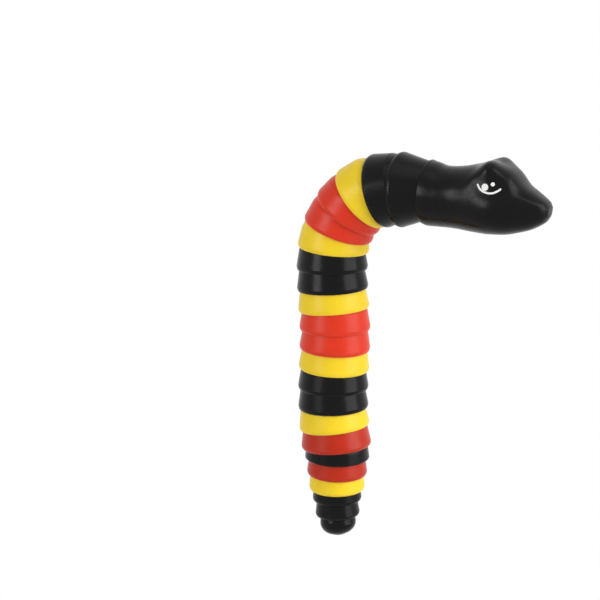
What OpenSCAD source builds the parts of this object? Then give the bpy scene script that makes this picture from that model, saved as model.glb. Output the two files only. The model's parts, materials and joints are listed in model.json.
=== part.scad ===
// Jointed snake toy in millimetres: a chain of cup-shaped links with a moulded head and a tail tip.
// Every link is one moulding. Its skirt rides over the round front of the next link, and inside it
// a blade ends in an open hook that snaps over a crossbar in the next link.
// All hinge axes run along Y, and the snake hangs in the XZ plane with its head towards +X.

/* [Body links] */
// Outer diameter of a body link at its rim
rim_d = 29.2; // [28:0.1:31]
// Distance from one body rim to the next
pitch = 8.4; // [8.3:0.1:9]
// How far the rim stands out from the ball that the front of the same link is part of
flare = 0.2; // [0.1:0.1:0.4]
// How far behind a rim the hinge to the next link lies
hinge_drop = 5.1; // [4.8:0.1:5.3]
// Wall thickness of the mouldings
wall = 1.2; // [0.8:0.1:1.5]
// Running gap between a skirt and the round front inside it
skirt_gap = 0.3; // [0.2:0.05:0.5]
// Height of the rounded lip along the link
lip_h = 1.7; // [1.2:0.1:1.8]
// Largest bend of a body hinge to either side of straight
body_bend = 25; // [10:1:25]

/* [Neck collars] */
// How much wider the two black collars are at their rims than a body link
collar_step = 0.6; // [0:0.1:1.8]
// Distance from the rear collar's rim to the first yellow link's rim
rear_collar_pitch = 8.8; // [8.6:0.1:10]
// Distance from the front collar's rim to the rear collar's rim
front_collar_pitch = 9.4; // [9:0.1:11]
// Distance from the head's rear rim to the front collar's rim
head_pitch = 12; // [11:0.1:13]
// Largest bend of the hinge at the head to either side of straight
head_bend = 16; // [10:1:16]

/* [Tail] */
// How much smaller each of the first three tail links is at its rim than the link before
tail_step = [2.2, 1.8, 1.8]; // [0.5:0.1:3]
// How much smaller the last two tail links are at their rims than the link before
tail_end_step = [2.8, 1.9]; // [0.5:0.1:3]
// How much smaller the tail tip is at its hinge than the rim of the last tail link
tip_step = 3.5; // [2.5:0.1:4]
// Lengths that the first three tail links show
tail_pitch = [5, 7, 6.8]; // [4.9:0.1:8]
// Lengths that the last two tail links show
tail_end_pitch = [4.9, 6.8]; // [4.7:0.1:8]
// Length that the tail tip shows
tip_len = 8; // [7.5:0.1:10]
// Diameter of the tail's blunt end
tip_end_d = 6.4; // [3:0.1:8]
// Distance of each tail hinge behind the rim in front of it
tail_drop = [3.6, 4.2, 3.4]; // [3:0.1:4.5]
// Distance of the last tail hinges behind the rim in front of them
tail_end_drop = [2.6, 3.5, 2.9]; // [2.5:0.1:4]
// Largest bend of a tail hinge to either side of straight
tail_bend = 15; // [5:1:15]

/* [Body hinge] */
// Diameter of the crossbar that the hook snaps over
pin_d = 2.2; // [1.8:0.1:2.4]
// Play around the crossbar inside the hook
pin_play = 0.05; // [0.03:0.01:0.08]
// Wall of the hook around the crossbar
hook_wall = 1.05; // [0.8:0.05:1.2]
// Width of the hook and its blade
blade_w = 5.8; // [4:0.1:6]
// Width of each cheek that carries the crossbar
cheek_w = 1.8; // [1.2:0.1:2]
// Side play between the hook and a cheek
side_gap = 0.3; // [0.2:0.05:0.4]

/* [Tail hinge] */
// Diameter of the thin crossbar in the tail
tail_pin_d = 1.6; // [1.2:0.1:1.8]
// Wall of the small hook around the thin crossbar
tail_hook_wall = 0.7; // [0.5:0.05:0.8]
// Width of the small hook and its blade
tail_blade_w = 4; // [3:0.1:4.2]
// Width of each cheek in the tail
tail_cheek_w = 1.3; // [1:0.1:1.5]

/* [Head] */
// Length of the head from its rear rim to the tip of the snout
head_len = 50.2; // [48:0.1:58]
// Diameter of the head's rear rim, which the ball of the front collar fills
head_rim_d = 25.5; // [25:0.1:27]
// Half width of the head at the jaws
jaw_w = 14.3; // [13:0.1:16]
// Height of the forehead above the neck's axis
crown_h = 15.4; // [13:0.1:16]
// Height of the brow ridges above the forehead
brow_h = 2.4; // [1:0.1:4]
// Depth of the hollow that each eye lies in
eye_hollow = 1.6; // [0.5:0.1:2]

/* [Pose] */
// Heading of the head above the horizontal
head_heading = -4; // [-20:1:20]
// Bends from the head back to the thumb, each turning the chain downwards
neck_bends = [6, 13.5, 24]; // [0:1:24]
// Bend of each link over the hand
hand_bend = 15; // [0:1:20]
// Bends of the hanging body, link by link
hang_bends = [15, 6.5, 2.5, 1.5, -4.5, -2.5, -0.5, 2.5, 2.5, 4.5, -2]; // [-20:0.5:20]
// Bends of the hanging tail, link by link
tail_bends = [-5, -0.5, 1.5, 1, 1.5, 5]; // [-12:0.5:12]

/* [Hidden] */
NODES = [
    "head", "black_collar_1", "black_collar_2", "yellow_link_1", "red_link_1", "red_link_2",
    "yellow_link_2", "black_link_1", "black_link_2", "yellow_link_3", "red_link_3",
    "red_link_4", "yellow_link_4", "black_link_3", "black_link_4", "yellow_link_5",
    "red_link_5", "black_link_5", "red_link_6", "yellow_link_6", "black_link_6",
    "black_link_7", "tail_tip"
];
black = "#1c1c1c";
yellow = "#f6d234";
red = "#d8402c";
$fn = 72;
far = 60;

// places in the chain, counted from the head
function place(name) = search([name], NODES)[0];
HEAD = place("head");
FRONT_COLLAR = place("black_collar_1");
REAR_COLLAR = place("black_collar_2");
GRIP = place("red_link_1");
LAST_BODY = place("red_link_5");
TIP = place("tail_tip");

// the lip ends at least this far short of the hinge plane
lip_room = 0.6;

// what each link measures, as functions of its place in the chain
function tail_no(i) = i - LAST_BODY - 1;
function pick(first, last, k) = k < 3 ? first[k] : last[k - 3];
function rim_of(i) =
    i == HEAD ? head_rim_d / 2 :
    i <= REAR_COLLAR ? (rim_d + collar_step) / 2 :
    i <= LAST_BODY ? rim_d / 2 :
    i < TIP ? rim_of(i - 1) - pick(tail_step, tail_end_step, tail_no(i)) / 2 :
    ball_of(TIP) + flare / 2;
function pitch_of(i) =
    i == FRONT_COLLAR ? head_pitch :
    i == REAR_COLLAR ? front_collar_pitch :
    i == REAR_COLLAR + 1 ? rear_collar_pitch :
    i <= LAST_BODY ? pitch :
    i < TIP ? pick(tail_pitch, tail_end_pitch, tail_no(i)) : tip_len;
function drop_of(i) =
    i < LAST_BODY ? hinge_drop : pick(tail_drop, tail_end_drop, i - LAST_BODY);
// the front hinge lies this far ahead of the link's own rim
function front_of(i) = pitch_of(i) - drop_of(i - 1);
function ball_of(i) =
    i == FRONT_COLLAR ? head_rim_d / 2 - flare / 4 :
    i == REAR_COLLAR ? rim_of(i) - 2 * flare :
    i == TIP ? rim_of(i - 1) - tip_step / 2 :
    i <= LAST_BODY ? rim_d / 2 - flare : rim_of(i) - flare / 4;
function lip_of(i) = min(lip_h, front_of(i) - lip_room);
function bend_of(i) =
    i == HEAD ? head_bend : i < LAST_BODY ? body_bend : tail_bend;
function lip_in(i) = sqrt(pow(ball_of(i + 1) + skirt_gap, 2) - pow(drop_of(i), 2));

// the hinge behind link i: body size up to the last body link, then the small size
function small(i) = i >= LAST_BODY;
function pin_r(i) = (small(i) ? tail_pin_d : pin_d) / 2;
function hook_r(i) = pin_r(i) + pin_play + (small(i) ? tail_hook_wall : hook_wall);
function blade_y(i) = (small(i) ? tail_blade_w : blade_w) / 2;
function cheek_y(i) = blade_y(i) + side_gap;
function cheek_out(i) = cheek_y(i) + (small(i) ? tail_cheek_w : cheek_w);

// the round front of link i is cut back by two sloping planes that meet at this distance ahead of
// its hinge, so that it clears the crossbar of the link before and still hides behind its skirt
cut_cover = 0.3;
function cut_x(i) = (drop_of(i - 1) + cut_cover) / cos(bend_of(i - 1));
function reach(i) = let (b = bend_of(i - 1), t = pin_r(i - 2))
    (cut_x(i) + t * (sin(b) + tan(b) * cos(b))) / (cos(b) - tan(b) * sin(b));
web_len = 1.5;
// where the crossbar's webs to the walls begin and end, ahead of the link's own hinge
function web_from(i) = i == TIP ? 0 :
    max(0, reach(i + 1) + skirt_gap - drop_of(i) - front_of(i));
function web_to(i) = web_from(i) + web_len;
// half width at which a web ends inside the wall of the front, x ahead of the hinge plane
function wall_y(i, x) = sqrt(pow(ball_of(i) - wall / 2, 2) - x * x);
function web_sweep(i) = max(norm([web_to(i), pin_r(i - 1)]), hook_r(i - 1));

// the photographed pose: where each link's rim centre lies and where its axis heads
BENDS = concat(neck_bends, [hand_bend, hand_bend], hang_bends, tail_bends);
function heading(i) = i == HEAD ? head_heading : heading(i - 1) + BENDS[i - 1];
function dir(a) = [cos(a), 0, sin(a)];
function hinge_at(i) = i == HEAD ? [0, 0, 0] :
    hinge_at(i - 1) - dir(heading(i)) * (front_of(i) + drop_of(i));
// hinge_at(i) is the hinge behind link i, and the head's rear hinge is the start of the chain
function rim_at(i) = i == HEAD ? dir(heading(i)) * drop_of(i) :
    hinge_at(i - 1) - dir(heading(i)) * front_of(i);
origin = hinge_at(GRIP - 1);

module at_link(i) {
    translate(rim_at(i) - origin) rotate([0, -heading(i), 0]) children();
}

// everything below is drawn in a link's own frame: rim in the plane X = 0, front towards +X
module turned() { rotate([0, 90, 0]) rotate([0, 0, 90]) children(); }

// the lip is rounded over most of its thickness outside, and eased inside
outer_share = 0.8;
inner_ease = 0.4;
function lip_curve(r_out, r_in, h) = let (edge = r_out - r_in) [
    for (a = [0:22.5:90]) [r_out - outer_share * edge * (1 - cos(a)), h * (1 - sin(a))],
    for (a = [0:45:90])
        [r_in + (1 - outer_share) * edge * (1 - sin(a)), inner_ease * (1 - cos(a))]
];

// the ball of a link as a profile about its hinge, between two angles ahead of the hinge plane
edge_angle = 60;
function ball_curve(i, r, from, to, steps) = [
    for (k = [0:steps]) let (a = from + (to - from) * k / steps)
        [r * cos(a), front_of(i) + r * sin(a)]
];
function ball_outside(i, from) = ball_curve(i, ball_of(i), edge_angle, from, 5);
function ball_inside(i) = ball_curve(i, ball_of(i) - wall, 0, edge_angle, 3);

// The shell is round: its flank is a straight cone from the lip up to where the skirt of the link
// before ends, and from there its front is part of the ball about the hinge.
module shell(i) {
    turned() rotate_extrude() polygon(concat(
        ball_outside(i, asin(drop_of(i - 1) / ball_of(i))),
        lip_curve(rim_of(i), lip_in(i), lip_of(i)),
        [[min(lip_in(i), rim_of(i) - wall), lip_of(i)]],
        ball_inside(i)
    ));
}

// the front is cut back by two sloping planes, so that it swings clear of the link before
module cut_back(i) {
    front = front_of(i);
    edge = cut_x(i) + far * tan(bend_of(i - 1));
    difference() {
        children();
        translate([front, 0, 0]) rotate([90, 0, 0]) linear_extrude(2 * far, center = true)
            polygon([[cut_x(i), 0], [edge, far], [3 * far, far], [3 * far, -far], [edge, -far]]);
    }
}

// flat frame in the hinge plane: webs to the walls, two cheeks and the bridge behind the crossbar
module cheeks(i) {
    front = front_of(i);
    k = i - 1;
    t = pin_r(k);
    bridge_from = web_sweep(i + 1) + skirt_gap - drop_of(i);
    bridge_to = front - hook_r(k) - skirt_gap;
    for (side = [-1, 1]) scale([1, side, 1]) {
        translate([bridge_from, cheek_y(k), -t])
            cube([front + web_to(i) - bridge_from, cheek_out(k) - cheek_y(k), 2 * t]);
        translate([front + web_from(i), cheek_y(k), -t])
            cube([web_len, wall_y(i, web_to(i)) - cheek_y(k), 2 * t]);
    }
    translate([bridge_from, -cheek_out(k), -t])
        cube([bridge_to - bridge_from, 2 * cheek_out(k), 2 * t]);
}

// the crossbar runs this far into the cheeks, both ends taken together
pin_seat = 0.4;
module crossbar(i) {
    translate([front_of(i), 0, 0]) rotate([90, 0, 0])
        cylinder(r = pin_r(i - 1), h = 2 * cheek_y(i - 1) + pin_seat, center = true);
}

// Blade from x_from back to the open hook around the next link's crossbar. Its mouth is narrower
// than the crossbar, which snaps in.
mouth_share = 0.75;
module hook(i, x_from) {
    difference() {
        union() {
            translate([-drop_of(i), 0, 0]) rotate([90, 0, 0])
                cylinder(r = hook_r(i), h = 2 * blade_y(i), center = true);
            translate([-drop_of(i), -blade_y(i), -pin_r(i)])
                cube([x_from + drop_of(i), 2 * blade_y(i), 2 * pin_r(i)]);
        }
        translate([-drop_of(i), 0, 0]) rotate([90, 0, 0])
            cylinder(r = pin_r(i) + pin_play, h = far, center = true);
        translate([-drop_of(i) - far, -far / 2, -mouth_share * pin_r(i)])
            cube([far, far, 2 * mouth_share * pin_r(i)]);
    }
}

// the blade runs this far into the bridge
blade_root = 0.3;
module link(i, colour) {
    color(colour) at_link(i) {
        cut_back(i) shell(i);
        cheeks(i);
        crossbar(i);
        hook(i, web_sweep(i + 1) + skirt_gap - drop_of(i) + blade_root);
    }
}

// the last piece has no skirt: its rear closes to a blunt end
end_ease = 0.4;
module tail_tip() {
    front = front_of(TIP);
    floor_x = front - hook_r(TIP - 1) - skirt_gap;
    color(black) at_link(TIP) {
        cut_back(TIP) turned() rotate_extrude() polygon(concat(
            ball_outside(TIP, 0),
            [for (a = [75:-15:0])
                [tip_end_d / 2 + (ball_of(TIP) - tip_end_d / 2) * pow(sin(a), 1.2),
                 end_ease + (front - end_ease) * (1 - cos(a))]],
            [[tip_end_d / 2 - end_ease, 0], [0, 0], [0, floor_x], [hook_r(TIP - 1) + wall, floor_x]],
            ball_inside(TIP)
        ));
        for (side = [-1, 1]) scale([1, side, 1])
            translate([front - pin_r(TIP - 1), cheek_y(TIP - 1), -pin_r(TIP - 1)])
                cube([web_len + pin_r(TIP - 1), wall_y(TIP, web_len) - cheek_y(TIP - 1),
                      2 * pin_r(TIP - 1)]);
        crossbar(TIP);
    }
}

// head stations as shares of the length, with half width, height above and depth below the axis
neck_r = head_rim_d / 2;
HEAD_STATIONS = [
    [0.03, neck_r, neck_r - 0.45, neck_r + 0.4],
    [0.14, neck_r - 0.3, neck_r - 1.5, neck_r + 0.1],
    [0.27, neck_r - 0.7, neck_r - 0.8, neck_r - 0.2],
    [0.40, jaw_w - 1.3, crown_h - 1.7, neck_r - 0.1],
    [0.53, jaw_w - 0.1, crown_h, neck_r - 0.2],
    [0.62, jaw_w, crown_h - 0.9, neck_r - 0.6],
    [0.70, jaw_w - 1.1, crown_h - 2.9, neck_r - 1.2],
    [0.78, jaw_w - 3.1, crown_h - 6.9, neck_r - 2.4],
    [0.87, jaw_w - 5.6, crown_h - 9.5, neck_r - 4.1],
    [0.94, jaw_w - 7.7, crown_h - 11.6, neck_r - 6.3],
    [0.975, jaw_w - 9.3, crown_h - 12.9, neck_r - 7.8],
    [0.992, jaw_w - 10.9, crown_h - 14.1, neck_r - 9.3]
];
snout_pole = -1.7;
function hermite(a, b, ma, mb, u) =
    a * (2 * u * u * u - 3 * u * u + 1) + b * (3 * u * u - 2 * u * u * u)
    + ma * (u * u * u - 2 * u * u + u) + mb * (u * u * u - u * u);
function slope(s, k, c) = k == 0 || k == len(s) - 1 ? 0 :
    (s[k + 1][c] - s[k - 1][c]) / (s[k + 1][0] - s[k - 1][0]);
function segment(s, x, k = 0) = k >= len(s) - 2 || x <= s[k + 1][0] ? k : segment(s, x, k + 1);
function station(x, c) = let (s = HEAD_STATIONS, k = segment(s, x), w = s[k + 1][0] - s[k][0])
    hermite(s[k][c], s[k + 1][c], slope(s, k, c) * w, slope(s, k + 1, c) * w,
            (x - s[k][0]) / w);

// brow ridges and eye hollows, as bumps around a place on the head's side
brow_x = 0.545;
brow_angle = 56;
eye_x = 0.575;
eye_angle = 29;
function bump(x, a, x0, a0, x_size, a_size) =
    exp(-pow((x - x0) / x_size, 2) - pow((a - a0) / a_size, 2));
function side_angle(a) = a > 90 && a <= 270 ? 180 - a : a > 270 ? a - 360 : a;
function swell(x, a) = let (s = side_angle(a))
    brow_h * bump(x, s, brow_x, brow_angle, 0.085, 24)
    - eye_hollow * bump(x, s, eye_x, eye_angle, 0.085, 15);
function squareness(x) = 2 + 0.5 * max(0, min(1, (x - 0.2) / 0.35));
function head_point(x, a) =
    let (n = 2 / squareness(x), c = cos(a), s = sin(a), h = s >= 0 ? station(x, 2) : station(x, 3))
    [x * head_len, sign(c) * pow(abs(c), n) * (station(x, 1)) + swell(x, a) * c,
     sign(s) * pow(abs(s), n) * h + swell(x, a) * s];

head_sides = 40;
head_angles = [for (k = [0:head_sides - 1]) k * 360 / head_sides];
function circle_ring(r, x) = [for (a = head_angles) [x, r * cos(a), r * sin(a)]];
function inside(p) = let (k = 1 - wall / norm([p[1], p[2]])) [p[0], p[1] * k, p[2] * k];

// the shell as rings: down the inside from the snout, round the rear lip, and up the outside
first_x = HEAD_STATIONS[0][0];
last_x = HEAD_STATIONS[len(HEAD_STATIONS) - 1][0];
cavity_x = 0.9;
rim_ease = 0.25;
in_rings = 12;
out_rings = 30;
HEAD_RINGS = [
    for (k = [in_rings:-1:0])
        [for (a = head_angles) inside(head_point(first_x + (cavity_x - first_x) * k / in_rings, a))],
    circle_ring(lip_in(HEAD), rim_ease),
    circle_ring((lip_in(HEAD) + neck_r - rim_ease) / 2, 0),
    circle_ring(neck_r - rim_ease, rim_ease),
    for (k = [0:out_rings])
        [for (a = head_angles) head_point(first_x + (last_x - first_x) * k / out_rings, a)]
];

module head_shell() {
    n = head_sides;
    m = len(HEAD_RINGS);
    points = concat([for (ring = HEAD_RINGS, p = ring) p],
                    [[cavity_x * head_len + wall / 2, 0, snout_pole], [head_len, 0, snout_pole]]);
    polyhedron(points, concat(
        [for (j = [0:m - 2], k = [0:n - 1]) [(j + 1) * n + k, j * n + (k + 1) % n, j * n + k]],
        [for (j = [0:m - 2], k = [0:n - 1])
            [(j + 1) * n + k, (j + 1) * n + (k + 1) % n, j * n + (k + 1) % n]],
        [for (k = [0:n - 1]) [k, (k + 1) % n, m * n]],
        [for (k = [0:n - 1]) [(m - 1) * n + (k + 1) % n, (m - 1) * n + k, m * n + 1]]
    ), convexity = 6);
}

// upright web across the hollow neck, ahead of the collar's round front, which carries the hook
module neck_web() {
    web_x = ball_of(FRONT_COLLAR) + skirt_gap - drop_of(HEAD);
    top = station(web_x / head_len, 2) - wall / 2;
    foot = station(web_x / head_len, 3) - wall / 2;
    translate([web_x, -blade_y(HEAD), -foot])
        cube([2 * wall, 2 * blade_y(HEAD), top + foot]);
    hook(HEAD, web_x + wall);
}

module head() {
    color(black) at_link(HEAD) {
        head_shell();
        neck_web();
    }
}

module black_collar_1() { link(place("black_collar_1"), black); }
module black_collar_2() { link(place("black_collar_2"), black); }
module yellow_link_1() { link(place("yellow_link_1"), yellow); }
module red_link_1() { link(place("red_link_1"), red); }
module red_link_2() { link(place("red_link_2"), red); }
module yellow_link_2() { link(place("yellow_link_2"), yellow); }
module black_link_1() { link(place("black_link_1"), black); }
module black_link_2() { link(place("black_link_2"), black); }
module yellow_link_3() { link(place("yellow_link_3"), yellow); }
module red_link_3() { link(place("red_link_3"), red); }
module red_link_4() { link(place("red_link_4"), red); }
module yellow_link_4() { link(place("yellow_link_4"), yellow); }
module black_link_3() { link(place("black_link_3"), black); }
module black_link_4() { link(place("black_link_4"), black); }
module yellow_link_5() { link(place("yellow_link_5"), yellow); }
module red_link_5() { link(place("red_link_5"), red); }
module black_link_5() { link(place("black_link_5"), black); }
module red_link_6() { link(place("red_link_6"), red); }
module yellow_link_6() { link(place("yellow_link_6"), yellow); }
module black_link_6() { link(place("black_link_6"), black); }
module black_link_7() { link(place("black_link_7"), black); }

head();
black_collar_1();
black_collar_2();
yellow_link_1();
red_link_1();
red_link_2();
yellow_link_2();
black_link_1();
black_link_2();
yellow_link_3();
red_link_3();
red_link_4();
yellow_link_4();
black_link_3();
black_link_4();
yellow_link_5();
red_link_5();
black_link_5();
red_link_6();
yellow_link_6();
black_link_6();
black_link_7();
tail_tip();
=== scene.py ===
import json
import math

import bpy
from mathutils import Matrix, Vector
from mathutils.bvhtree import BVHTree


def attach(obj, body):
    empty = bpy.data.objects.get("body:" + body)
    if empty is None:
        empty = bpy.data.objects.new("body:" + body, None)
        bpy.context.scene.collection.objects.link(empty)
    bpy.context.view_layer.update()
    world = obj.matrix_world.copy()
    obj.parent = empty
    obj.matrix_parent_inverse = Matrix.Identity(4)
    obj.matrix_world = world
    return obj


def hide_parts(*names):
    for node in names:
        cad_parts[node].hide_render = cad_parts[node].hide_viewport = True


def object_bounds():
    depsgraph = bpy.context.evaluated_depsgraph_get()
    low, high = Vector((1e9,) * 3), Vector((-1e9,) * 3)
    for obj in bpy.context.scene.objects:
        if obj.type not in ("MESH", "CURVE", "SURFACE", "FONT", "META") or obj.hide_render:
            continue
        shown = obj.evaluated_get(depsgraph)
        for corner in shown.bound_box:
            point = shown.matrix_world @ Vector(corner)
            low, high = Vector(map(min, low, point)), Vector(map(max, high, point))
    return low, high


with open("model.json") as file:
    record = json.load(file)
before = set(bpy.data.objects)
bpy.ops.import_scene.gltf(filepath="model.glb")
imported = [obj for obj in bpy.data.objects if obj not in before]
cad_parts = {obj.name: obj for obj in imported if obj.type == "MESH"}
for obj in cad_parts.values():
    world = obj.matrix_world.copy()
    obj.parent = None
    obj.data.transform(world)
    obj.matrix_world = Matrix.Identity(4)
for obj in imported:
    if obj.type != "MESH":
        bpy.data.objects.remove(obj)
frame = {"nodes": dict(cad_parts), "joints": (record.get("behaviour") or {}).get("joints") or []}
cad_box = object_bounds()

# Viewpoint. The camera looks slightly down at the snake, from the side that the head turns to.
# The photograph is square, so one focal length serves both directions.
VIEW_AZIMUTH = math.radians(27.5)
VIEW_ELEVATION = math.radians(12.3)
VIEW_DISTANCE = 0.594
LOOK_AT = Vector((-0.02345, 0.0, -0.04085))
LENS = 85.6
SENSOR = 36.0
NEAREST_SEEN = 0.01


def stand(thing, centre, distance, azimuth, elevation):
    """Puts a camera or a lamp at a distance from a place, and turns it to face that place."""
    away = Vector((
        math.sin(azimuth) * math.cos(elevation),
        -math.cos(azimuth) * math.cos(elevation),
        math.sin(elevation),
    ))
    thing.location = centre + distance * away
    thing.rotation_euler = (-away).to_track_quat("-Z", "Y").to_euler()


camera_data = bpy.data.cameras.new("camera")
camera_data.sensor_width = SENSOR
camera_data.lens = LENS
camera_data.clip_start = NEAREST_SEEN
camera = bpy.data.objects.new("camera", camera_data)
bpy.context.scene.collection.objects.link(camera)
stand(camera, LOOK_AT, VIEW_DISTANCE, VIEW_AZIMUTH, VIEW_ELEVATION)
bpy.context.scene.camera = camera
bpy.context.scene.view_settings.view_transform = "Standard"

# Studio. A white sweep far under the hanging snake, soft boxes to both sides and a soft top light.
# The sweep and the surroundings show white to the camera and in reflections, and are a plain pale
# floor and a plain dim sky to the light.
FLOOR_DROP = 0.22
FLOOR_SIZE = 6.0
FLOOR_TONE = (0.80, 0.80, 0.80, 1.0)
SKY_STRENGTH = 0.33
WHITE = (1.0, 1.0, 1.0, 1.0)
# name, azimuth from the camera's side, elevation, distance, width, height, power
LAMPS = (
    ("right_box", 62, 20, 0.85, 0.70, 0.90, 7.2),
    ("left_box", -56, 15, 0.85, 0.36, 0.40, 2.5),
    ("top_box", 10, 72, 0.90, 0.60, 0.60, 0.8),
)


def seen_directly(tree):
    """A mask that is 1 for the camera, for reflections and through glass, and 0 for the light itself."""
    path = tree.nodes.new("ShaderNodeLightPath")
    seen = path.outputs["Is Camera Ray"]
    for ray in ("Is Glossy Ray", "Is Transmission Ray"):
        either = tree.nodes.new("ShaderNodeMath")
        either.operation = "MAXIMUM"
        tree.links.new(seen, either.inputs[0])
        tree.links.new(path.outputs[ray], either.inputs[1])
        seen = either.outputs[0]
    return seen


def lit_and_seen(tree, lit, seen, output):
    """Ends a node tree in one shader for the light and another for what looks at it."""
    choose = tree.nodes.new("ShaderNodeMixShader")
    tree.links.new(seen_directly(tree), choose.inputs[0])
    tree.links.new(lit.outputs[0], choose.inputs[1])
    tree.links.new(seen.outputs[0], choose.inputs[2])
    end = tree.nodes.new(output)
    tree.links.new(choose.outputs[0], end.inputs["Surface"])


low, high = cad_box
edge = FLOOR_SIZE / 2
floor_z = low[2] - FLOOR_DROP
floor_mesh = bpy.data.meshes.new("floor")
floor_mesh.from_pydata(
    [(-edge, -edge, floor_z), (edge, -edge, floor_z), (edge, edge, floor_z), (-edge, edge, floor_z)],
    [],
    [(0, 1, 2, 3)],
)
floor = bpy.data.objects.new("floor", floor_mesh)
bpy.context.scene.collection.objects.link(floor)

sweep = bpy.data.materials.new("sweep")
sweep.use_nodes = True
tree = sweep.node_tree
tree.nodes.clear()
matt = tree.nodes.new("ShaderNodeBsdfDiffuse")
matt.inputs["Color"].default_value = FLOOR_TONE
shown = tree.nodes.new("ShaderNodeEmission")
shown.inputs["Color"].default_value = WHITE
shown.inputs["Strength"].default_value = 1.0
lit_and_seen(tree, matt, shown, "ShaderNodeOutputMaterial")
floor_mesh.materials.append(sweep)

world = bpy.data.worlds.new("studio")
bpy.context.scene.world = world
world.use_nodes = True
tree = world.node_tree
tree.nodes.clear()
sky = tree.nodes.new("ShaderNodeBackground")
sky.inputs["Color"].default_value = WHITE
sky.inputs["Strength"].default_value = SKY_STRENGTH
backdrop = tree.nodes.new("ShaderNodeBackground")
backdrop.inputs["Color"].default_value = WHITE
backdrop.inputs["Strength"].default_value = 1.0
lit_and_seen(tree, sky, backdrop, "ShaderNodeOutputWorld")

middle = (Vector(low) + Vector(high)) / 2
for name, turn, rise, distance, width, height, power in LAMPS:
    lamp_data = bpy.data.lights.new(name, "AREA")
    lamp_data.energy = power
    lamp_data.shape = "RECTANGLE"
    lamp_data.size = width
    lamp_data.size_y = height
    lamp = bpy.data.objects.new(name, lamp_data)
    bpy.context.scene.collection.objects.link(lamp)
    stand(lamp, middle, distance, VIEW_AZIMUTH + math.radians(turn), math.radians(rise))

# Cup-shaped links. Each is one injection moulding in through-coloured plastic, straight from a
# satin tool: yellow, red or black, with the thin lip of its skirt rubbed smooth by handling. Its
# sharp edges carry a painted highlight, a lighter colour where the surface turns. The two reds
# next to the tail are a shade deeper than the others.
YELLOW = (249, 214, 40)
RED = (224, 54, 27)
DEEP_RED = (186, 42, 14)
BLACK = (7, 7, 8)
PLASTIC_IOR = 1.46
# sizes of the skin's marks as noise scales per metre, and how the drawn ones are squeezed along Z
FLOW_SCALE = 70
SHRINK_SCALE = 120
HAIR_SCALE = 180
PATCH_SCALE = 420
MOTTLE_SCALE = 650
GRAIN_SCALE = 5200
FLOW_SQUEEZE = (1.0, 1.0, 2.2)
HAIR_SQUEEZE = (1.0, 1.0, 9.0)
# how far off an edge is felt, and how well two normals agree on flat and on sharp ground
EDGE_REACH = 0.0009
FLAT_TO_SHARP = (0.995, 0.90)
RUB_SHINE = 0.08
# heights of the grain, the shrinkage and the scuffs, and what a height of 1 is in metres
GRAIN_HEIGHT = 0.30
SHRINK_HEIGHT = 0.9
SCUFF_DEPTH = 0.12
RELIEF_UNIT = 0.0001
# a Mix node that mixes colours keeps them in these inputs, and its result in this output
MIX_FIRST = 6
MIX_SECOND = 7
MIX_RESULT = 2


def paint(rgb):
    """A colour of the photograph in the shader's linear values, by the sRGB formula."""
    values = [channel / 255 for channel in rgb]
    linear = [v / 12.92 if v <= 0.04045 else ((v + 0.055) / 1.055) ** 2.4 for v in values]
    return (*linear, 1.0)


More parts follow.
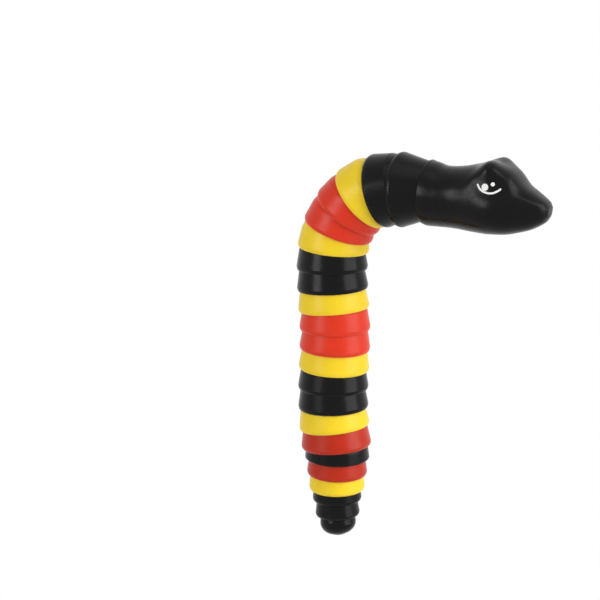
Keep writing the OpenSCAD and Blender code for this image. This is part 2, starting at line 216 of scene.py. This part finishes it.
def moulded_skin():
    """Satin moulding: slow flow marks in the colour, a painted highlight on sharp edges, mottled sheen,
    hairline scuffs and fine grain.
    """
    group = bpy.data.node_groups.new("moulded_skin", "ShaderNodeTree")
    face = group.interface
    for label in ("Colour", "Rubbed And Highlit Edge Colour"):
        face.new_socket(label, in_out="INPUT", socket_type="NodeSocketColor")
    for label in ("Flow", "Sheen", "Mottle", "Scuffs", "Edge Rub And Highlight"):
        face.new_socket(label, in_out="INPUT", socket_type="NodeSocketFloat")
    face.new_socket("Colour", in_out="OUTPUT", socket_type="NodeSocketColor")
    for label in ("Roughness", "Height"):
        face.new_socket(label, in_out="OUTPUT", socket_type="NodeSocketFloat")
    nodes = group.nodes
    links = group.links
    given = nodes.new("NodeGroupInput")
    out = nodes.new("NodeGroupOutput")
    place = nodes.new("ShaderNodeTexCoord").outputs["Object"]

    def noise(scale, detail, squeeze=None):
        """Marks of one size over the surface, from 0 to 1."""
        texture = nodes.new("ShaderNodeTexNoise")
        texture.inputs["Scale"].default_value = scale
        texture.inputs["Detail"].default_value = detail
        where = place
        if squeeze:
            mapping = nodes.new("ShaderNodeMapping")
            mapping.inputs["Scale"].default_value = squeeze
            links.new(place, mapping.inputs["Vector"])
            where = mapping.outputs["Vector"]
        links.new(where, texture.inputs["Vector"])
        return texture.outputs["Fac"]

    def spread(value, given_range, wanted_range):
        """A value moved from one range into another, and kept inside it."""
        ranged = nodes.new("ShaderNodeMapRange")
        labels = ("From Min", "From Max", "To Min", "To Max")
        for label, number in zip(labels, (*given_range, *wanted_range)):
            ranged.inputs[label].default_value = number
        links.new(value, ranged.inputs["Value"])
        return ranged.outputs["Result"]

    def calc(kind, first, second):
        """One sum on two values, each a number or the output of a node."""
        step = nodes.new("ShaderNodeMath")
        step.operation = kind
        for slot, part in enumerate((first, second)):
            if isinstance(part, (int, float)):
                step.inputs[slot].default_value = part
            else:
                links.new(part, step.inputs[slot])
        return step.outputs[0]

    # flow marks: broad, soft changes of shade left as the plastic filled the tool
    flow = spread(noise(FLOW_SCALE, detail=3, squeeze=FLOW_SQUEEZE), (0.3, 0.7), (-1.0, 1.0))
    shade = calc("ADD", calc("MULTIPLY", flow, given.outputs["Flow"]), 1.0)
    tinted = nodes.new("ShaderNodeVectorMath")
    tinted.operation = "SCALE"
    links.new(given.outputs["Colour"], tinted.inputs[0])
    links.new(shade, tinted.inputs["Scale"])

    # painted edge highlight and rubbed edges: where the surface turns sharply, told by how far a rounded
    # normal leans away, the colour is painted lighter as a highlight on the plastics and takes a worn
    # colour on the ink
    rounded = nodes.new("ShaderNodeBevel")
    rounded.samples = 4
    rounded.inputs["Radius"].default_value = EDGE_REACH
    straight = nodes.new("ShaderNodeNewGeometry")
    agree = nodes.new("ShaderNodeVectorMath")
    agree.operation = "DOT_PRODUCT"
    links.new(rounded.outputs["Normal"], agree.inputs[0])
    links.new(straight.outputs["Normal"], agree.inputs[1])
    turning = spread(agree.outputs["Value"], FLAT_TO_SHARP, (0.0, 1.0))
    patchy = spread(noise(PATCH_SCALE, detail=4), (0.35, 0.65), (0.25, 1.0))
    rubbed_and_highlit_edges = calc("MULTIPLY", calc("MULTIPLY", turning, patchy), given.outputs["Edge Rub And Highlight"])
    # the edge colour mixed in here is a painted highlight on the plastics and worn ink on the eyes
    highlight_and_wear_mix = nodes.new("ShaderNodeMix")
    highlight_and_wear_mix.data_type = "RGBA"
    links.new(rubbed_and_highlit_edges, highlight_and_wear_mix.inputs[0])
    links.new(tinted.outputs[0], highlight_and_wear_mix.inputs[MIX_FIRST])
    links.new(given.outputs["Rubbed And Highlit Edge Colour"], highlight_and_wear_mix.inputs[MIX_SECOND])
    links.new(highlight_and_wear_mix.outputs[MIX_RESULT], out.inputs["Colour"])

    # sheen: mottled satin, hairline scuffs a little duller, rubbed edges a little brighter
    mottle = spread(noise(MOTTLE_SCALE, detail=5), (0.3, 0.7), (-1.0, 1.0))
    hairs = spread(noise(HAIR_SCALE, detail=6, squeeze=HAIR_SQUEEZE), (0.62, 0.72), (0.0, 1.0))
    sheen = calc("ADD", given.outputs["Sheen"], calc("MULTIPLY", mottle, given.outputs["Mottle"]))
    sheen = calc("ADD", sheen, calc("MULTIPLY", hairs, given.outputs["Scuffs"]))
    sheen = calc("SUBTRACT", sheen, calc("MULTIPLY", rubbed_and_highlit_edges, RUB_SHINE))
    links.new(sheen, out.inputs["Roughness"])

    # height: fine grain of the tool, a trace of shrinkage over the ribs, and the scuffs
    grain = calc("MULTIPLY", noise(GRAIN_SCALE, detail=3), GRAIN_HEIGHT)
    shrink = calc("MULTIPLY", noise(SHRINK_SCALE, detail=2), SHRINK_HEIGHT)
    height = calc("SUBTRACT", calc("ADD", grain, shrink), calc("MULTIPLY", hairs, SCUFF_DEPTH))
    links.new(height, out.inputs["Height"])
    return group


skin = moulded_skin()


def moulding(name, colour, rubbed_and_highlit_edges, flow, sheen, mottle, scuffs, edge_rub_and_highlight, relief, gloss):
    """One through-coloured plastic with the shared satin skin."""
    material = bpy.data.materials.new(name)
    material.use_nodes = True
    tree = material.node_tree
    shader = tree.nodes["Principled BSDF"]
    surface = tree.nodes.new("ShaderNodeGroup")
    surface.node_tree = skin
    settings = {
        "Colour": paint(colour),
        "Rubbed And Highlit Edge Colour": paint(rubbed_and_highlit_edges),
        "Flow": flow,
        "Sheen": sheen,
        "Mottle": mottle,
        "Scuffs": scuffs,
        "Edge Rub And Highlight": edge_rub_and_highlight,
    }
    for label, value in settings.items():
        surface.inputs[label].default_value = value
    bump = tree.nodes.new("ShaderNodeBump")
    bump.inputs["Distance"].default_value = RELIEF_UNIT
    bump.inputs["Strength"].default_value = relief
    tree.links.new(surface.outputs["Height"], bump.inputs["Height"])
    tree.links.new(surface.outputs["Colour"], shader.inputs["Base Color"])
    tree.links.new(surface.outputs["Roughness"], shader.inputs["Roughness"])
    tree.links.new(bump.outputs["Normal"], shader.inputs["Normal"])
    shader.inputs["IOR"].default_value = PLASTIC_IOR
    shader.inputs["Specular IOR Level"].default_value = gloss
    return material


# the second colour of each plastic is its painted edge highlight, lighter than the plastic itself
yellow_plastic = moulding(
    "yellow_plastic", YELLOW, (255, 224, 92),
    flow=0.035, sheen=0.36, mottle=0.04, scuffs=0.10, edge_rub_and_highlight=0.5, relief=0.35, gloss=0.27,
)
red_plastic = moulding(
    "red_plastic", RED, (234, 96, 74),
    flow=0.045, sheen=0.35, mottle=0.04, scuffs=0.10, edge_rub_and_highlight=0.5, relief=0.35, gloss=0.27,
)
deep_red_plastic = moulding(
    "deep_red_plastic", DEEP_RED, (206, 82, 62),
    flow=0.045, sheen=0.34, mottle=0.04, scuffs=0.10, edge_rub_and_highlight=0.5, relief=0.35, gloss=0.27,
)
black_plastic = moulding(
    "black_plastic", BLACK, (30, 30, 32),
    flow=0.10, sheen=0.25, mottle=0.05, scuffs=0.08, edge_rub_and_highlight=0.6, relief=0.15, gloss=0.16,
)

DEEP_RED_LINKS = ("red_link_5", "red_link_6")
for node_name, node in frame["nodes"].items():
    plastic = black_plastic
    if node_name.startswith("yellow"):
        plastic = yellow_plastic
    if node_name.startswith("red"):
        plastic = deep_red_plastic if node_name in DEEP_RED_LINKS else red_plastic
    for slot in node.material_slots:
        slot.material = plastic

# Head. One moulding in black plastic: a round neck with a socket for the front collar, brow
# ridges over two shallow eye hollows with a faint arch above each, and a long snout that slopes
# down to a blunt tip. Its own sizes are in millimetres from its rear rim.
MM = 0.001
HEAD_HEADING = math.radians(-4)
HEAD_HINGE_DROP = 5.1
HEAD_LENGTH = 50.2
HEAD_SIDES = 128
HEAD_RINGS = 150
SOCKET_RADIUS = 13.0
SOCKET_RINGS = 12
LAST_STEP = 0.3
LIP_RADIUS = 11.96
LIP_DEPTH = 0.25
RIM_BULGE = 0.45
RIM_STEPS = 8
# share of the length, half width, height above the axis, depth below it
SHARE, HALF_WIDTH, HEIGHT, DEPTH = range(4)
HEAD_STATIONS = (
    (0.03, 12.75, 12.30, 13.15),
    (0.14, 12.45, 11.25, 12.85),
    (0.27, 12.05, 11.95, 12.55),
    (0.4, 13.00, 13.70, 12.65),
    (0.53, 14.20, 15.40, 12.55),
    (0.62, 14.30, 14.50, 12.15),
    (0.7, 13.20, 12.50, 11.55),
    (0.78, 11.20, 8.50, 10.35),
    (0.87, 8.70, 5.90, 8.65),
    (0.94, 6.60, 3.80, 6.45),
    (0.975, 5.00, 2.50, 4.95),
    (0.992, 3.40, 1.30, 3.45),
)
# the section is an ellipse at the neck and grows squarer: how much, from where and over what length
ELLIPSE = 2
SQUARER = (0.5, 0.2, 0.35)
# brow ridge: height, place along the head, angle up its side, spread along and around
BROW = (2.4, 0.545, 56, 0.085, 24)
# eye hollow: place along and above the axis, half length, half height, depth, sharpness of its edge
HOLLOW = (29.6, 6.9, 6.6, 4.4, 1.3, 2.8)
# arch round the hollow's upper edge: height, distance and spread in the hollow's own sizes
ARCH = (0.40, 1.3, 0.35)
# domed tip: how far it stays short of the head's length, its pole's height, its rings and bluntness
DOME_SHORT = 0.1
SNOUT_POLE = -1.7
DOME_RINGS = (0.95, 0.87, 0.75, 0.6, 0.42, 0.2)
DOME_BLUNTNESS = 4


def clamp(value):
    """A value kept between 0 and 1."""
    return max(0.0, min(1.0, value))


def head_station(share, column):
    """A width, height or depth between the stations, on a smooth curve through them."""
    rows = HEAD_STATIONS

    def slope(k):
        """The curve's slope at a station, level at the first and the last."""
        if k in (0, len(rows) - 1):
            return 0.0
        return (rows[k + 1][column] - rows[k - 1][column]) / (rows[k + 1][SHARE] - rows[k - 1][SHARE])

    k = 0
    while k < len(rows) - 2 and share > rows[k + 1][SHARE]:
        k += 1
    span = rows[k + 1][SHARE] - rows[k][SHARE]
    u = (share - rows[k][SHARE]) / span
    start = rows[k][column] * (2 * u**3 - 3 * u**2 + 1)
    end = rows[k + 1][column] * (3 * u**2 - 2 * u**3)
    bends = slope(k) * span * (u**3 - 2 * u**2 + u) + slope(k + 1) * span * (u**3 - u**2)
    return start + end + bends


def head_point(share, angle):
    """A point of the head's skin, in millimetres from the centre of its rear rim."""
    gain, gain_from, gain_over = SQUARER
    power = 2 / (ELLIPSE + gain * clamp((share - gain_from) / gain_over))
    c = math.cos(angle)
    s = math.sin(angle)
    x = share * HEAD_LENGTH
    y = math.copysign(abs(c) ** power, c) * head_station(share, HALF_WIDTH)
    z = math.copysign(abs(s) ** power, s) * head_station(share, HEIGHT if s >= 0 else DEPTH)

    side = math.degrees(math.atan2(s, abs(c)))
    height, along, up, long, wide = BROW
    swell = height * math.exp(-(((share - along) / long) ** 2) - ((side - up) / wide) ** 2)

    eye_x, eye_z, half_long, half_high, depth, sharpness = HOLLOW
    ring = math.hypot((x - eye_x) / half_long, (z - eye_z) / half_high)
    hollow = math.copysign(depth * math.exp(-(ring**sharpness)), y)

    # the arch fades out below the middle of the hollow
    arch_height, arch_ring, arch_spread = ARCH
    upper = clamp(0.5 + (z - eye_z) / half_high)
    swell += arch_height * upper * math.exp(-(((ring - arch_ring) / arch_spread) ** 2))
    return (x, y + swell * c - hollow, z + swell * s)


head_joint = next(j for j in frame["joints"] if j["child"] == "head")
head_axis = Vector((math.cos(HEAD_HEADING), 0, math.sin(HEAD_HEADING)))
head_up = Vector((-math.sin(HEAD_HEADING), 0, math.cos(HEAD_HEADING)))
head_rim = Vector(head_joint["pos_m"]) + HEAD_HINGE_DROP * MM * head_axis


def in_head(point):
    """A point given in millimetres along, across and up from the head's rear rim."""
    x, y, z = point
    return head_rim + head_axis * (x * MM) + Vector((0, y * MM, 0)) + head_up * (z * MM)


angles = [2 * math.pi * k / HEAD_SIDES for k in range(HEAD_SIDES)]


def round_ring(radius, x):
    """A circle of points across the head's axis."""
    return [(x, radius * math.cos(a), radius * math.sin(a)) for a in angles]


def smooth_piece(name, points, faces, material):
    """A smoothly shaded object of one material, linked into the scene."""
    mesh = bpy.data.meshes.new(name)
    mesh.from_pydata(points, [], faces)
    mesh.validate()
    mesh.shade_smooth()
    mesh.materials.append(material)
    piece = bpy.data.objects.new(name, mesh)
    bpy.context.scene.collection.objects.link(piece)
    return piece


# the closed socket, a ball about the hinge, in even steps from its pole and a short one to the lip
rings = []
for k in range(1, SOCKET_RINGS + 1):
    radius = LIP_RADIUS * k / (SOCKET_RINGS + LAST_STEP)
    rings.append(round_ring(radius, math.sqrt(SOCKET_RADIUS**2 - radius**2) - HEAD_HINGE_DROP))
# the lip and the rounded rim
rings.append(round_ring(LIP_RADIUS, LIP_DEPTH))
rim_radius = HEAD_STATIONS[0][HALF_WIDTH]
for k in range(RIM_STEPS + 1):
    turn = math.pi * k / RIM_STEPS
    radius = (rim_radius + LIP_RADIUS) / 2 - (rim_radius - LIP_RADIUS) / 2 * math.cos(turn)
    rings.append(round_ring(radius, RIM_BULGE * (1 - math.sin(turn))))
# the skin, from the first station to the last
rear = HEAD_STATIONS[0][SHARE]
front = HEAD_STATIONS[-1][SHARE]
for k in range(1, HEAD_RINGS + 1):
    share = rear + (front - rear) * k / HEAD_RINGS
    rings.append([head_point(share, a) for a in angles])
# the domed tip, which stays just inside the length of the head
snout_ring = rings[-1]
tip_x = HEAD_LENGTH - DOME_SHORT
for inward in DOME_RINGS:
    rings.append([
        (
            tip_x - (tip_x - x) * inward**DOME_BLUNTNESS,
            y * inward,
            SNOUT_POLE + (z - SNOUT_POLE) * inward,
        )
        for x, y, z in snout_ring
    ])

points = [in_head(p) for ring in rings for p in ring]
socket_pole = len(points)
points.append(in_head((SOCKET_RADIUS - HEAD_HINGE_DROP, 0, 0)))
tip_pole = len(points)
points.append(in_head((tip_x, 0, SNOUT_POLE)))
faces = []
last_ring = (len(rings) - 1) * HEAD_SIDES
for k in range(HEAD_SIDES):
    n = (k + 1) % HEAD_SIDES
    for near in range(0, last_ring, HEAD_SIDES):
        faces.append((near + k, near + n, near + HEAD_SIDES + n, near + HEAD_SIDES + k))
    faces.append((n, k, socket_pole))
    faces.append((last_ring + k, last_ring + n, tip_pole))
head = smooth_piece("head_moulding", points, faces, black_plastic)
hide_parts("head")
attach(head, "head")

# Eyes. Each is pad-printed in white ink on the side of the head: a curved lash line under the
# eye, a large round glint and a small one. The ink is a thin film that follows the plastic. Its
# sizes are in millimetres, and its places are along and above the head's axis.
INK_WHITE = (252, 252, 250)
INK_FILM = 0.05
OUTSIDE = 40
# place and radius
GLINT = (27.65, 7.0, 1.32)
SPARK = (30.5, 8.4, 0.76)
DOT_SIDES = 32
DOT_BANDS = 3
# the lash line runs through these places
LASH = ((24.5, 7.9), (25.7, 6.25), (27.6, 5.25), (30.2, 5.05), (32.3, 5.85), (33.8, 7.1))
LASH_WIDTH = 0.70
LASH_STEPS = 10
LASH_BANDS = 4
LASH_END = 0.25

ink = moulding(
    "eye_ink", INK_WHITE, (230, 230, 228),
    flow=0.02, sheen=0.5, mottle=0.06, scuffs=0.10, edge_rub_and_highlight=0.2, relief=0.30, gloss=0.45,
)
head_skin = BVHTree.FromPolygons([tuple(p) for p in points], faces)


def on_side(x, z, side):
    """The place of a printed point on the head's side, on top of the plastic."""
    start = in_head((x, side * OUTSIDE, z))
    found = head_skin.ray_cast(start, Vector((0, -side, 0)))[0]
    return found + Vector((0, side * INK_FILM * MM, 0))


def disc(x, z, radius, side):
    """The points and faces of a printed dot, in bands from its centre."""
    spots = [on_side(x, z, side)]
    for ring in range(1, DOT_BANDS + 1):
        for k in range(DOT_SIDES):
            a = 2 * math.pi * k / DOT_SIDES
            r = radius * ring / DOT_BANDS
            spots.append(on_side(x + r * math.cos(a), z + r * math.sin(a), side))
    dot_faces = []
    for k in range(DOT_SIDES):
        n = (k + 1) % DOT_SIDES
        dot_faces.append((0, 1 + k, 1 + n))
        for ring in range(DOT_BANDS - 1):
            a = 1 + ring * DOT_SIDES
            dot_faces.append((a + k, a + DOT_SIDES + k, a + DOT_SIDES + n, a + n))
    return spots, dot_faces


def between(before, start, end, after, u):
    """A coordinate on a smooth curve from start to end, bent by the places before and after."""
    bend = before - 2.5 * start + 2 * end - after / 2
    twist = 1.5 * (start - end) + (after - before) / 2
    return start + (end - before) / 2 * u + bend * u**2 + twist * u**3


def smooth_path(places):
    """Many points on a smooth curve through a few places."""
    path = []
    for k in range(len(places) - 1):
        around = (places[max(k - 1, 0)], places[k], places[k + 1], places[min(k + 2, len(places) - 1)])
        for m in range(LASH_STEPS):
            path.append([between(*coordinates, m / LASH_STEPS) for coordinates in zip(*around)])
    path.append(places[-1])
    return path


def stroke(places, width, side):
    """The points and faces of a printed line of even width with round ends."""
    path = smooth_path(places)
    run = [0.0]
    for here, there in zip(path, path[1:]):
        run.append(run[-1] + math.dist(here, there))
    spots = []
    for k, (x, z) in enumerate(path):
        ahead = path[min(k + 1, len(path) - 1)]
        behind = path[max(k - 1, 0)]
        step_x, step_z = ahead[0] - behind[0], ahead[1] - behind[1]
        step = math.hypot(step_x, step_z)
        from_end = min(run[k], run[-1] - run[k], width / 2) / (width / 2)
        half = width / 2 * max(LASH_END, math.sqrt(1 - (1 - from_end) ** 2))
        for m in range(LASH_BANDS + 1):
            t = half * (2 * m / LASH_BANDS - 1)
            spots.append(on_side(x - t * step_z / step, z + t * step_x / step, side))
    line_faces = []
    for k in range(len(path) - 1):
        for m in range(LASH_BANDS):
            a = k * (LASH_BANDS + 1) + m
            line_faces.append((a, a + LASH_BANDS + 1, a + LASH_BANDS + 2, a + 1))
    return spots, line_faces


for label, side in (("near", -1), ("far", 1)):
    marks = (
        ("glint", disc(*GLINT, side)),
        ("spark", disc(*SPARK, side)),
        ("lash", stroke(LASH, LASH_WIDTH, side)),
    )
    for mark, (spots, mark_faces) in marks:
        if side > 0:
            mark_faces = [tuple(reversed(f)) for f in mark_faces]
        eye = smooth_piece(f"eye_{mark}_{label}", spots, mark_faces, ink)
        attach(eye, "head")
